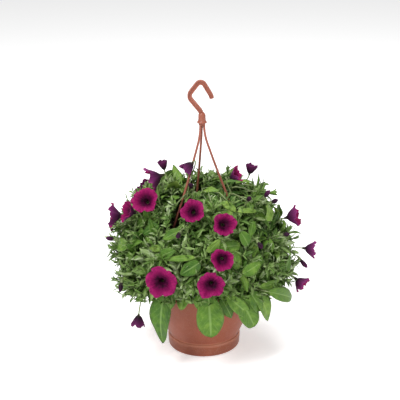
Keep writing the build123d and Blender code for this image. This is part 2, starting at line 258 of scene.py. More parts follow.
def plastic_material(name, dark, light, speckle, seam_light_height=None):
    """Moulded plastic: cloudy colour, fine pale speckle, light scuffs and a faint grain.

    The last argument is the height of a seam, along which a pale band of painted light lightens the shade in
    the seam's groove."""
    material, shader = new_material(name, 0.45)
    shader.inputs["Specular IOR Level"].default_value = 0.25
    graph = Graph(material)
    place = graph.position()
    cloud = graph.noise(place, 14.0, 4.0)
    colour = graph.mix(graph.range(cloud, 0.35, 0.65), (*dark, 1), (*light, 1))
    grain = graph.noise(place, 900.0, 2.0)
    dust = graph.range(grain, 0.56, 0.72)
    colour = graph.mix(graph.math("MULTIPLY", dust, speckle), colour, SPECKLE_COLOUR)
    scuff = graph.range(graph.noise(place, 60.0, 5.0, 0.7), 0.55, 0.8)
    colour = graph.mix(graph.math("MULTIPLY", scuff, 0.25), colour, SCUFF_COLOUR)
    # Painted light: a pale band along the seam that lightens the shade in its groove.
    if seam_light_height is not None:
        height = graph.node("ShaderNodeSeparateXYZ", {0: place}).outputs[2]
        away = graph.math("ABSOLUTE", graph.math("SUBTRACT", height, seam_light_height))
        near = graph.range(away, *SEAM_LIGHT_FADE, SEAM_LIGHT_STRENGTH, 0.0)
        colour = graph.mix(near, colour, SEAM_LIGHT_COLOUR)
    graph.surface(shader, colour, graph.range(scuff, 0, 1, 0.38, 0.62), grain, 0.12, 0.0004)
    return material


def leaf_material(name, stops, vein_colour):
    """Leaf: blotched green that varies leaf by leaf, with a pale midrib, side veins and margin. The blotches
    carry both patchy tone and painted highlights, and the leaves deep in the foliage carry painted shade.
    """
    material, shader = new_material(name, 0.55)
    graph = Graph(material)
    across, along, seed = graph.own("leaf")
    place = graph.position()
    blotch = graph.noise(place, 90.0, 3.0)
    # Patchy tone and painted highlight: random patches, made strong enough to stand for the patches of
    # highlight on the leaves.
    mottle_and_highlight = graph.range(blotch, 0.3, 0.7, 0.0, 0.32)
    shade = graph.math("ADD", graph.math("MULTIPLY", seed, 0.72), mottle_and_highlight)
    colour = graph.ramp(shade, stops)
    side = graph.math("ABSOLUTE", across)
    midrib = graph.range(side, 0.03, 0.13, 1.0, 0.0)
    vein_count, vein_slant, vein_wander = 8.0, 2.4, 1.6
    slant = graph.math("MULTIPLY", along, vein_count)
    slant = graph.math("SUBTRACT", slant, graph.math("MULTIPLY", side, vein_slant))
    slant = graph.math("ADD", slant, graph.math("MULTIPLY", blotch, vein_wander))
    wave = graph.math("ABSOLUTE", graph.math("SUBTRACT", graph.math("FRACT", slant), 0.5))
    veins = graph.math("MULTIPLY", graph.range(wave, 0.0, 0.14, 1.0, 0.0), 0.35)
    lines = graph.math("MAXIMUM", midrib, veins)
    colour = graph.mix(graph.math("MULTIPLY", lines, 0.4), colour, (*vein_colour, 1))
    margin = graph.range(side, 0.82, 1.0)
    colour = graph.mix(graph.math("MULTIPLY", margin, 0.35), colour, (*vein_colour, 1))
    height = graph.math("SUBTRACT", graph.math("MULTIPLY", blotch, 0.6), lines)
    graph.surface(shader, colour, graph.range(blotch, 0.3, 0.7, 0.48, 0.68), height, 0.5, 0.0006)
    shader.inputs["Specular IOR Level"].default_value = 0.22
    return material


def petal_material():
    """Petal: magenta towards the rim, dark veins that run into a near-black throat, dusky back.

    The ring makes the streaks and veins run out from the throat."""
    material, shader = new_material("petal", 0.6)
    graph = Graph(material)
    turn, reach, back = graph.own("petal")
    place = graph.position()
    angle = graph.math("MULTIPLY", turn, FULL_TURN)
    ring = graph.node("ShaderNodeCombineXYZ", {0: graph.math("COSINE", angle), 1: graph.math("SINE", angle)})
    streaks = graph.noise(ring.outputs[0], 14.0, 3.0, 0.7)
    cloud = graph.noise(place, 160.0, 3.0)
    bleed = graph.math("ADD", reach, graph.math("MULTIPLY", graph.math("SUBTRACT", streaks, 0.5), -0.60))
    front = graph.ramp(bleed, [
        (0.28, (0.002, 0.001, 0.004)),
        (0.37, (0.010, 0.001, 0.008)),
        (0.45, (0.120, 0.002, 0.044)),
        (0.64, (0.280, 0.006, 0.092)),
        (1.0, (0.360, 0.016, 0.130)),
    ])
    front = graph.mix(graph.range(cloud, 0.40, 0.65, 0.0, 0.55), front, (0.13, 0.002, 0.055, 1))
    veins = graph.range(graph.noise(ring.outputs[0], 34.0, 2.0, 0.6), 0.42, 0.62)
    front = graph.mix(graph.math("MULTIPLY", veins, 0.45), front, (0.09, 0.001, 0.035, 1))
    behind = graph.ramp(bleed, [
        (0.02, (0.050, 0.050, 0.025)),
        (0.20, (0.018, 0.005, 0.017)),
        (0.65, (0.120, 0.018, 0.088)),
        (1.0, (0.270, 0.040, 0.185)),
    ])
    colour = graph.mix(back, front, behind)
    crease = graph.math("ADD", streaks, graph.math("MULTIPLY", cloud, 0.4))
    graph.surface(shader, colour, graph.range(cloud, 0.3, 0.7, 0.5, 0.75), crease, 0.5, 0.0008)
    shader.inputs["Specular IOR Level"].default_value = 0.1
    return material


def spotted_material(name, first, second, scale, roughness, depth):
    """Natural surface of two colours in fine patches, with a matching relief."""
    material, shader = new_material(name, roughness)
    graph = Graph(material)
    place = graph.position()
    patches = graph.noise(place, scale, 5.0, 0.65)
    colour = graph.mix(graph.range(patches, 0.35, 0.65), (*first, 1), (*second, 1))
    worn = graph.range(patches, 0.3, 0.7, roughness - 0.1, roughness + 0.1)
    graph.surface(shader, colour, worn, patches, 0.6, depth)
    return material


# ---- mesh helpers
def unit(vectors):
    """Vectors scaled to length one, along the last axis."""
    length = np.linalg.norm(vectors, axis=-1, keepdims=True)
    return vectors / np.maximum(length, 1e-9)


def cross_frames(forward, upward):
    """Side and normal for each forward vector, with the normal as near upward as it can be."""
    side = unit(np.cross(forward, upward))
    return side, np.cross(side, forward)


def heading(azimuth, elevation):
    """A unit vector from azimuth and elevation in degrees."""
    turn, tilt = math.radians(azimuth), math.radians(elevation)
    return np.array([math.cos(turn) * math.cos(tilt), math.sin(turn) * math.cos(tilt), math.sin(tilt)])


def full_turn(sides):
    """Angles of a ring's points."""
    return np.linspace(0, FULL_TURN, sides, endpoint=False)


def round_about(side, normal, turn):
    """Unit vectors at angles round the axis that side and normal are square to."""
    return np.cos(turn)[:, None] * side + np.sin(turn)[:, None] * normal


def revolved(out, turn, height):
    """Points about +Z, one ring for each row of radii."""
    return np.stack([out * np.cos(turn), out * np.sin(turn), height + 0 * turn], axis=-1)


def ring_walls(index, reverse=False):
    """Quads between neighbouring rings of points. Reversed, they face the other way."""
    after = np.roll(index, -1, axis=1)
    corners = [index[:-1], index[1:], after[1:], after[:-1]]
    if reverse:
        corners = [corners[0], *corners[:0:-1]]
    return np.stack(corners, axis=-1).reshape(-1, 4)


def closed_rings(rings, sides, reverse=False):
    """Quads of a closed body made of rings of points: its walls and a cap at each end."""
    index = np.arange(rings * sides).reshape(rings, sides)
    caps = []
    for ring, flip in ((index[0], reverse), (index[-1], not reverse)):
        for step in range(1, sides - 2, 2):
            cap = [ring[0], ring[step], ring[step + 1], ring[step + 2]]
            caps.append(cap[::-1] if flip else cap)
    return np.concatenate([ring_walls(index, reverse), np.array(caps)])


class Mesh:
    """Collects the vertices, faces and point values of one piece, then makes its object."""

    def __init__(self, value_name=None):
        self.value_name = value_name
        self.points, self.faces, self.values, self.slots = [], [], [], []
        self.count = 0

    def add(self, points, faces, values=None, slot=0):
        self.points.append(points)
        self.faces.append(faces + self.count)
        self.slots.append(np.full(len(faces), slot))
        self.values.append(np.zeros_like(points) if values is None else values)
        self.count += len(points)

    def make(self, name, materials):
        mesh = bpy.data.meshes.new(name)
        points, faces = np.concatenate(self.points), np.concatenate(self.faces)
        mesh.from_pydata(points.tolist(), [], faces.tolist(), shade_flat=False)
        mesh.polygons.foreach_set("material_index", np.concatenate(self.slots).astype(np.int32))
        if self.value_name:
            stored = mesh.attributes.new(self.value_name, "FLOAT_VECTOR", "POINT")
            stored.data.foreach_set("vector", np.concatenate(self.values).astype(np.float32).ravel())
        mesh.update(calc_edges=True)
        mesh.validate()
        for material in materials:
            mesh.materials.append(material)
        return add_object(name, mesh)


def sheet_template(across, along):
    """Grid of a thin closed sheet: its top, and a bottom that shares the top's outer edge.

    Returns the grid place and side of every vertex, and the quads."""
    index = np.arange((across + 1) * (along + 1)).reshape(along + 1, across + 1)
    rows, columns = np.divmod(index.ravel(), across + 1)
    inner = (rows > 0) & (rows < along) & (columns > 0) & (columns < across)
    under = index.ravel().copy()
    under[inner] = index.size + np.arange(inner.sum())
    under = under.reshape(index.shape)
    place_u = columns / across * 2 - 1
    place_v = rows / along
    u = np.concatenate([place_u, place_u[inner]])
    v = np.concatenate([place_v, place_v[inner]])
    side = np.concatenate([np.where(inner, 1.0, 0.0), -np.ones(inner.sum())])

    def quads(grid):
        corners = (grid[:-1, :-1], grid[:-1, 1:], grid[1:, 1:], grid[1:, :-1])
        return np.stack([corner.ravel() for corner in corners], axis=1)

    return u, v, side, np.concatenate([quads(index), quads(under)[:, ::-1]])


LEAF_GRIDS = {
    "small": sheet_template(2, 6),
    "broad": sheet_template(4, 8),
    "pointed": sheet_template(8, 16),
    "oval": sheet_template(8, 16),
}
# Where each kind is widest, from its foot to its tip, and how full its outline is.
LEAF_SHAPES = {"small": (0.90, 1.0), "broad": (0.80, 0.85), "pointed": (0.72, 0.75), "oval": (1.0, 0.55)}
LEAF_THICKNESS = 0.00028
LEAF_STALK = 0.1
LEAF_TIP = 0.03
UNDERSIDE_PALER = 0.12


def leaf_outline(v, kind):
    """Half-width along a leaf, as a share of its greatest: small leaves are lance-shaped."""
    peak, fullness = LEAF_SHAPES[kind]
    body = np.sin(math.pi * np.clip(v, 0, 1) ** peak) ** fullness
    stalk = LEAF_STALK * (1 - v)
    return np.maximum(body, stalk + LEAF_TIP)


def leaf_points(kind, base, forward, normal, length, width, bend, fold, ripple, phase):
    """World points of many leaves at once; every argument after kind has one row for each leaf."""
    u, v, side, _ = LEAF_GRIDS[kind]
    across, lift = cross_frames(forward, normal)
    u, v, side = u[None, :], v[None, :], side[None, :]
    length, width, bend = length[:, None], width[:, None], bend[:, None]
    fold, ripple, phase = fold[:, None], ripple[:, None], phase[:, None]
    half = leaf_outline(v, kind) * width / 2
    sideways = u * half
    thickness = LEAF_THICKNESS * np.sqrt(np.clip(1 - u**2, 0, 1)) * np.sqrt(np.clip(4 * v * (1 - v), 0, 1))
    raised = np.abs(sideways) * fold + side * thickness
    raised = raised + ripple * width * u**2 * np.sin(9.5 * v + phase * np.sign(u)) * (1 - v * 0.4)
    turned = bend * v
    ahead = length * np.sin(turned) / bend + raised * np.sin(turned)
    above = -length * (1 - np.cos(turned)) / bend + raised * np.cos(turned)
    place = base[:, None, :] + sideways[..., None] * across[:, None, :]
    return place + ahead[..., None] * forward[:, None, :] + above[..., None] * lift[:, None, :]


def leaf_values(u, v, side, shade):
    """What a leaf's material reads: place across, place along, and a shade that is paler beneath."""
    return np.stack([u, v, np.clip(shade + UNDERSIDE_PALER * (side < 0), 0, 1)], axis=1)


def add_leaves(mesh, kind, leaves, slot=0):
    """Add a batch of leaves to a mesh, leaving out any that would stand in a flower or the pot."""
    shades = leaves.pop("shade")
    points = leaf_points(kind, **leaves)
    keep = leaves_are_clear(points)
    u, v, side, quads = LEAF_GRIDS[kind]
    for leaf, shade in zip(points[keep], shades[keep]):
        mesh.add(leaf, quads, leaf_values(u, v, side, shade), slot)


def add_tube(mesh, points, radii, values=0.0, slot=0, sides=6):
    """Add a closed tube round a line of points, with the same values all over it."""
    points = np.asarray(points, dtype=float)
    forward = unit(np.gradient(points, axis=0))
    reference = np.array([1.0, 0.0, 0.0]) if abs(forward[0][0]) < 0.8 else np.array([0.0, 1.0, 0.0])
    side, normal = cross_frames(forward, reference)
    ring = round_about(side[:, None, :], normal[:, None, :], full_turn(sides))
    body = points[:, None, :] + ring * np.asarray(radii, dtype=float)[:, None, None]
    body = body.reshape(-1, 3)
    mesh.add(body, closed_rings(len(points), sides), np.ones_like(body) * values, slot)


def curve_between(start, end, start_heading, end_heading, steps=7):
    """A smooth curve that leaves and arrives along the given headings."""
    reach = np.linalg.norm(np.asarray(end) - start) / 3
    first, second = start + start_heading * reach, end - end_heading * reach
    t = np.linspace(0, 1, steps)[:, None]
    return (1 - t) ** 3 * start + 3 * (1 - t) ** 2 * t * first + 3 * (1 - t) * t**2 * second + t**3 * end


# ---- what the CAD solids give
# How far points may lie from a flat ring's plane, and from the end of a stalk.
FLAT = 0.0003
STALK_END = 0.0025
RING_LEAST = 12
NEARLY_WIDEST = 0.97


def node_points(name):
    """A CAD node's vertices."""
    return np.array([vertex.co for vertex in NODES[name].data.vertices])


def solids_of(name):
    """The separate solids of a CAD node, each as its own points."""
    points = node_points(name)
    _, same = np.unique(np.round(points, 6), axis=0, return_inverse=True)
    same = same.ravel()
    ends = same[np.array([edge.vertices[:] for edge in NODES[name].data.edges])]
    labels = np.arange(same.max() + 1)
    while (labels[ends[:, 0]] != labels[ends[:, 1]]).any():
        lowest = labels[ends].min(axis=1)
        np.minimum.at(labels, ends[:, 0], lowest)
        np.minimum.at(labels, ends[:, 1], lowest)
    return [points[labels[same] == label] for label in np.unique(labels)]


def face_level(points, facing):
    """Height along a heading of a flower's face: the highest flat ring that is nearly the widest."""
    heights = points @ facing
    levels = []
    for level in np.unique(np.round(heights, 4)):
        ring = points[np.abs(heights - level) < FLAT]
        if len(ring) >= RING_LEAST:
            levels.append((level, np.ptp(ring, axis=0).max()))
    widest = max(width for _, width in levels)
    return max(level for level, width in levels if width > NEARLY_WIDEST * widest)


def stalk_foot(points, end):
    """The foot of a stalk: the middle of the points furthest from the flower's or the bud's end."""
    distance = np.linalg.norm(points - end, axis=1)
    return points[distance > distance.max() - STALK_END].mean(axis=0)


def flower_place(points, facing):
    """Middle of a flower's face, its radius, and the foot of its stalk, from its CAD solid."""
    heights = points @ facing
    rim = points[np.abs(heights - face_level(points, facing)) < FLAT]
    middle = (rim.max(axis=0) + rim.min(axis=0)) / 2
    radius = np.linalg.norm(rim - middle, axis=1).max()
    return middle, radius, stalk_foot(points, middle)


def bud_place(points, facing):
    """Tip of a bud and the foot of its stalk, from its CAD solid."""
    heights = points @ facing
    tip = points[heights > heights.max() - FLAT].mean(axis=0)
    return tip, stalk_foot(points, tip)


def match_facing(points, headings):
    """The heading along which most of a solid's points lie in its far end: its flower's face."""

    def flat_share(facing):
        heights = points @ facing
        return (heights > heights.max() - FLAT).sum()

    return max((heading(*turn) for turn in headings), key=flat_share)


BLOOMS = {}
OPENNESS = {name: openness for name, (*_, openness) in BLOOM_FACING.items()}
for bloom_name, (*turn, _) in BLOOM_FACING.items():
    bloom_facing = heading(*turn)
    BLOOMS[bloom_name] = (*flower_place(node_points(bloom_name), bloom_facing), bloom_facing)
for far_number, solid in enumerate(solids_of("blooms_back")):
    far_facing = match_facing(solid, FAR_FACING)
    BLOOMS[f"bloom_back_{far_number + 1}"] = (*flower_place(solid, far_facing), far_facing)
BUDS = {}
for bud_name, turn in BUD_POINTING.items():
    bud_facing = heading(*turn)
    BUDS[bud_name] = (*bud_place(node_points(bud_name), bud_facing), bud_facing)
STRAND_LINES = {name: node_points(name) for name in STRAND_NODES}
# Each strand shows down to a height; below it the leaves close over it.
STRAND_SHOWN = {"strand_left": 0.248, "strand_right": 0.314, "strand_back": 0.294}
STRAND_GAP = 0.0045
HEM_LOW = min(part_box(name)[0][2] for name in LEAF_NODES)
HEM_FRONT = RIM_HEIGHT + 0.006
HEM_RAGGED = 0.004
HEM_WAVES = (900, 700)
SHOULDER_DIP = 0.020
# Leaves keep out of a short space before each flower's face, out of the tube behind it, and off the pot.
FACE_BEHIND = 0.005
FACE_BEFORE = 0.035
FACE_SHARE = 0.98
TUBE_DEPTH = 0.03
TUBE_CLEAR = 0.006
WALL_CLEAR = 0.0015
RIM_CLEAR = 0.001


def seen_from_front(points):
    """Where points appear from the viewpoint: sideways and upward tangents, and distance."""
    offset = points - VIEWPOINT
    return offset[..., 0] / offset[..., 1], offset[..., 2] / offset[..., 1], offset[..., 1]


def hides_strand(points):
    """Which leaves hang in front of the part of a strand that stands free of the foliage."""
    hidden = np.zeros(len(points), dtype=bool)
    sideways, upward, far = seen_from_front(points)
    for name, lowest in STRAND_SHOWN.items():
        line = STRAND_LINES[name]
        line = line[line[:, 2] > lowest]
        line_sideways, line_upward, line_far = seen_from_front(line)
        order = np.argsort(line[:, 2])
        on_line = np.interp(upward, line_upward[order], line_sideways[order])
        at_depth = np.interp(upward, line_upward[order], line_far[order])
        inside = (upward > line_upward.min()) & (np.abs(sideways - on_line) < STRAND_GAP / VIEW_DISTANCE)
        hidden |= (inside & (far < at_depth + STRAND_GAP)).any(axis=1)
    return hidden


def hem_height(points):
    """Height of the foliage's lower edge: higher at the front, where the pot shows."""
    frontal = np.clip(-points[..., 1] / np.linalg.norm(points[..., :2], axis=-1), 0, 1)
    return HEM_LOW + (HEM_FRONT - HEM_LOW) * frontal**2


def leaves_are_clear(points):
    """Which leaves stand clear of the flowers' faces, the pot's wall, the strands and the hem."""
    middle_leaf = points.mean(axis=1)
    ragged = HEM_RAGGED * np.sin(middle_leaf[:, 0] * HEM_WAVES[0]) * np.cos(middle_leaf[:, 1] * HEM_WAVES[1])
    keep = points[..., 2].min(axis=1) > hem_height(middle_leaf) + ragged
    keep &= ~hides_strand(points)
    for middle, radius, _, facing in BLOOMS.values():
        offset = points - middle
        height = offset @ facing
        aside = np.linalg.norm(offset - height[..., None] * facing, axis=-1)
        before = (height > -FACE_BEHIND) & (height < FACE_BEFORE) & (aside < radius * FACE_SHARE)
        behind = (height <= -FACE_BEHIND) & (height > -TUBE_DEPTH) & (aside < TUBE_CLEAR)
        keep &= ~(before | behind).any(axis=1)
    radius = np.linalg.norm(points[..., :2], axis=-1)
    height = points[..., 2]
    slope = (RIM_RADIUS - SAUCER_HIGH[0]) / (RIM_HEIGHT - SAUCER_HIGH[2])
    wall = np.minimum(RIM_RADIUS, SAUCER_HIGH[0] + (height - SAUCER_HIGH[2]) * slope) + WALL_CLEAR
    keep &= ~((radius < wall) & (height < RIM_HEIGHT + RIM_CLEAR)).any(axis=1)
    return keep


# ---- foliage
# Places on a clump count as outer ones when they face this much away from the core.
OUTER_LEAST = 0.55
TRIES_PER_PLACE = 14
# A shoot's leaves: how many, how far down its stem they sit, how long they are and how far they open in
# degrees. The last three give the value at the tip and what is added to it down the stem.
SHOOT_LEAVES = (11, 17)
SHOOT_DEPTH = (0.001, 0.042)
SHOOT_LENGTH = (0.012, 0.023)
SHOOT_OPENING = (14, 66)
SHOOT_SPREAD = {"share": (0.20, 0.36), "bend": (0.1, 1.1), "fold": (0.1, 0.7), "ripple": (0.0, 0.09)}
SHOOT_SHADE = (0.40, 0.84)
SHOOT_SPACING = 0.0165
SHOOT_SIZE = (0.7, 1.35)
SHOOT_STEM = 0.045
SHOOT_RADII = (0.0013, 0.0006)
# How far a shoot's tip stands off its clump.
CROWN_LIFT = (-0.012, 0.006)
SIDE_LIFT = (-0.010, 0.016)


def outer_samples(name, spacing, rng):
    """Evenly scattered places on the outward faces of a clump, with their normals."""
    mesh = NODES[name].data
    mesh.calc_loop_triangles()
    points = node_points(name)
    triangles = np.array([triangle.vertices[:] for triangle in mesh.loop_triangles])
    corners = points[triangles]
    normal = np.cross(corners[:, 1] - corners[:, 0], corners[:, 2] - corners[:, 0])
    area = np.linalg.norm(normal, axis=1) / 2
    normal = unit(normal)
    outward = unit(corners.mean(axis=1) - CORE)
    facing = (normal * outward).sum(axis=1) > OUTER_LEAST
    weight = np.where(facing, area, 0)
    tries = int(weight.sum() / spacing**2 * TRIES_PER_PLACE)
    chosen = rng.choice(len(area), size=tries, p=weight / weight.sum())
    mix = rng.random((tries, 2))
    root = np.sqrt(mix[:, :1])
    places = (1 - root) * corners[chosen, 0] + root * (1 - mix[:, 1:]) * corners[chosen, 1]
    places = places + root * mix[:, 1:] * corners[chosen, 2]
    kept = []
    for number, place in enumerate(places):
        if all(np.linalg.norm(place - places[other]) > spacing for other in kept):
            kept.append(number)
    return places[kept], normal[chosen[kept]]


def varied(spread, count, rng):
    """How far each of many leaves bends, folds and ripples, drawn from the given ranges."""
    drawn = {key: rng.uniform(*spread[key], count) for key in ("bend", "fold", "ripple")}
    return {**drawn, "phase": rng.uniform(*ANY_TURN, count)}


def shoot_leaves(tip, aim, size, rng):
    """The leaves of one shoot: a tuft of small ones at its tip and longer ones down its stem."""
    count = int(rng.integers(*SHOOT_LEAVES))
    share = np.arange(count) / count
    turn = np.arange(count) * GOLDEN_ANGLE + rng.uniform(*ANY_TURN)
    side, normal = cross_frames(aim[None, :], UP[None, :] + 0.01)
    radial = round_about(side, normal, turn)
    opening = np.radians(SHOOT_OPENING[0] + SHOOT_OPENING[1] * share**0.8 + rng.normal(0, 9, count))[:, None]
    forward = unit(np.cos(opening) * aim + np.sin(opening) * radial)
    length = size * (SHOOT_LENGTH[0] + SHOOT_LENGTH[1] * share**0.7) * rng.uniform(0.75, 1.25, count)
    return {
        "base": tip - aim * (SHOOT_DEPTH[0] + SHOOT_DEPTH[1] * share[:, None]) * size,
        "forward": forward,
        "normal": aim - radial * 0.2,
        "length": length,
        "width": length * rng.uniform(*SHOOT_SPREAD["share"], count),
        **varied(SHOOT_SPREAD, count, rng),
        "shade": np.clip(rng.uniform(*SHOOT_SHADE) + 0.16 * (1 - share) + rng.normal(0, 0.14, count), 0, 1),
    }


def right_shoulder(place):
    """How far a place lies on the right-hand shoulder of the foliage, which is lower: 0 to 1."""
    turn = math.atan2(place[1], place[0])
    return float(np.clip(math.cos(turn + 0.1) * 2 - 0.8, 0, 1) * np.clip((place[2] - 0.22) / 0.04, 0, 1))


SCATTERED_SPREAD = {"bend": (0.2, 1.3), "fold": (0.05, 0.6), "ripple": (0.02, 0.12)}


def scattered_leaves(places, normals, spread, rng):
    """Broader single leaves that lie over the clump: depth, length, width share and shade ranges."""
    count = len(places)
    lean = unit(normals + rng.normal(0, 0.6, (count, 3)) + UP * 0.15)
    around = unit(np.cross(normals, rng.normal(0, 1, (count, 3))))
    forward = unit(around + normals * rng.uniform(0.0, 1.0, (count, 1)) - UP * 0.2)
    long = rng.uniform(*spread["length"], count)
    return {
        "base": places - normals * rng.uniform(*spread["depth"], (count, 1)) - forward * long[:, None] * 0.4,
        "forward": forward,
        "normal": lean,
        "length": long,
        "width": long * rng.uniform(*spread["share"], count),
        **varied(SCATTERED_SPREAD, count, rng),
        "shade": rng.uniform(*spread["shade"], count),
    }


def joined(batches):
    """Many leaf batches as one."""
    return {key: np.concatenate([batch[key] for batch in batches]) for key in batches[0]}


# Scattered leaves come in layers, from the surface inwards. Lengths and depths are in metres.
# The deeper layers' lower shade ranges are painted shade: they darken the leaves deep in the foliage, where
# shade falls between them.
LAYERS = [
    {"spacing": 0.034, "depth": (-0.004, 0.008), "length": (0.028, 0.050), "share": (0.32, 0.52),
     "shade": (0.35, 1.0)},
    {"spacing": 0.020, "depth": (0.006, 0.018), "length": (0.024, 0.046), "share": (0.32, 0.54),
     "shade": (0.15, 0.75)},
    {"spacing": 0.017, "depth": (0.016, 0.036), "length": (0.036, 0.060), "share": (0.42, 0.62),
     "shade": (0.0, 0.4)},
]


def grow_clump(name, number, materials):
    """The leaves and the young stems of one clump, in the place of its CAD solid."""
    rng = np.random.default_rng(100 + number)
    leaves = Mesh("leaf")
    stems = Mesh("leaf")
    crown = name.startswith("leaves_crown")
    places, normals = outer_samples(name, SHOOT_SPACING, rng)
    batches = []
    for place, normal in zip(places, normals):
        aim = unit(normal + UP * 0.45 + rng.normal(0, 0.30, 3))
        size = rng.uniform(*SHOOT_SIZE)
        lift = rng.uniform(*(CROWN_LIFT if crown else SIDE_LIFT))
        tip = place + normal * (lift - SHOULDER_DIP * right_shoulder(place))
        batches.append(shoot_leaves(tip, aim, size, rng))
        root = tip - aim * SHOOT_STEM * size - normal * 0.02
        line = curve_between(root, tip, unit(normal + rng.normal(0, 0.3, 3)), aim)
        if not leaves_are_clear(line[None]).all():
            continue
        add_tube(stems, line, np.linspace(*SHOOT_RADII, len(line)))
    add_leaves(leaves, "small", joined(batches))
    for layer in LAYERS:
        places, normals = outer_samples(name, layer["spacing"], rng)
        add_leaves(leaves, "broad", scattered_leaves(places, normals, layer, rng), 1)
    foliage = leaves.make(f"{name}_foliage", [materials["leaf"], materials["broad_leaf"]])
    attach(foliage, "basket")
    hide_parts(name)
    shoots = stems.make(f"{name}_shoots", [materials["shoot"]])
    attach(shoots, "basket")


def outline_radius(height):
    """The foliage's radius at a height, from the outermost corners of its CAD clumps."""
    corners = np.concatenate([node_points(name) for name in LEAF_NODES])
    radius = np.linalg.norm(corners[:, :2], axis=1)
    level = corners[:, 2]
    return radius[np.abs(level - height) < 0.012].max()


def outline_point(azimuth, height, stand_off):
    """A place over the foliage's surface: azimuth in degrees, height and stand-off in millimetres."""
    turn = math.radians(azimuth)
    radius = outline_radius(max(height * MM, HEM_LOW + 0.02)) + stand_off * MM
    return np.array([radius * math.cos(turn), radius * math.sin(turn), height * MM])


# Shoots that reach out of the foliage: azimuth, height, stand-off and how steeply they point.
REACHING_SHOOTS = [
    (-170, 208, 16, 5), (-176, 190, 18, -5), (-160, 186, 14, -10), (-165, 222, 10, 20),
    (-160, 150, 8, -35), (-150, 144, 8, -45), (-142, 140, 8, -55), (-136, 138, 6, -60),
    (-8, 236, 12, 25), (0, 214, 14, 10), (-14, 204, 12, 0), (-24, 158, 8, -25), (-34, 150, 6, -35),
    (-146, 152, 8, -70), (-138, 150, 8, -75), (-130, 152, 6, -75),
    (-40, 318, 12, 60), (-30, 310, 10, 45), (-80, 322, 8, 70), (-20, 148, 10, -20),
    (10, 316, 6, 35), (4, 304, 6, 20), (-12, 320, 4, 50), (60, 322, -4, 70), (-60, 322, 2, 60),
    (-120, 320, 0, 60), (170, 300, 6, 40), (120, 240, 12, 20), (60, 230, 12, 20), (90, 180, 12, -10),
]


def grow_reaching_shoots(materials):
    """Longer shoots that break the foliage's outline."""
    rng = np.random.default_rng(55)
    leaves = Mesh("leaf")
    for azimuth, height, stand_off, steepness in REACHING_SHOOTS:
        aim = unit(heading(azimuth + rng.uniform(-12, 12), steepness))
        tip = outline_point(azimuth, height, stand_off)
        tuft = shoot_leaves(tip, aim, rng.uniform(1.15, 1.45), rng)
        add_leaves(leaves, "small", tuft)
        start = tip - heading(azimuth, 0) * 0.055
        line = curve_between(start, tip, heading(azimuth, 30), aim)
        add_tube(leaves, line, np.linspace(0.0015, 0.0007, len(line)), 0.5, 1)
    reaching = leaves.make("leaves_reaching", [materials["leaf"], materials["shoot"]])
    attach(reaching, "basket")


# Large leaves placed one by one: outline, azimuth and height of the base and of the tip, stand-off,
# width, share of fold along the midrib, and shade.
LARGE_LEAVES = [
    ("oval", -87, 168, -85, 88, -3, 50, 0.12, 0.60),
    ("pointed", -117, 166, -123, 62, -6, 46, 0.15, 0.40),
    ("oval", -76, 168, -59, 122, 3, 27, 0.25, 0.70),
    ("oval", -67, 160, -54, 94, -3, 40, 0.20, 0.60),
    ("pointed", -52, 160, -41, 94, -2, 30, 0.25, 0.75),
    ("oval", -59, 166, -50, 124, 0, 30, 0.20, 0.55),
    ("broad", -79, 162, -70, 118, -5, 24, 0.20, 0.50),
    ("pointed", -50, 166, -19, 120, 23, 25, 0.20, 0.60),
    ("oval", -100, 184, -106, 146, 3, 26, 0.20, 0.80),
    ("broad", -94, 172, -92, 142, 1, 18, 0.30, 0.60),
    ("broad", -110, 170, -112, 140, 1, 20, 0.30, 0.45),
    ("broad", -77, 188, -75, 150, 4, 19, 0.50, 0.60),
    ("oval", -38, 284, -22, 302, 4, 30, 0.15, 0.90),
    ("pointed", -148, 234, -168, 226, 5, 25, 0.20, 0.75),
    ("broad", -142, 174, -162, 146, 5, 28, 0.15, 0.60),
    ("pointed", -92, 234, -104, 214, 7, 28, 0.15, 0.35),
    ("broad", -118, 238, -108, 256, 8, 21, 0.40, 0.45),
    ("broad", -94, 244, -114, 241, 9, 12, 0.30, 0.70),
    ("broad", -88, 252, -79, 274, 9, 17, 0.30, 0.85),
    ("broad", -66, 206, -54, 224, 8, 23, 0.45, 0.70),
    ("oval", -60, 254, -64, 280, 7, 22, 0.20, 0.50),
    ("broad", -54, 174, -32, 166, 8, 18, 0.30, 0.75),
    ("broad", -50, 162, -26, 146, 8, 17, 0.30, 0.80),
    ("pointed", -26, 168, -14, 200, 4, 25, 0.20, 0.55),
    ("broad", -56, 188, -36, 192, 9, 16, 0.30, 0.70),
    ("broad", -105, 286, -118, 270, 6, 18, 0.30, 0.55),
    ("oval", 60, 190, 70, 150, 4, 34, 0.20, 0.60),
    ("pointed", 110, 170, 112, 110, 2, 38, 0.20, 0.60),
    ("oval", 150, 180, 158, 132, 3, 34, 0.20, 0.50),
    ("broad", 30, 230, 20, 260, 6, 24, 0.25, 0.70),
]


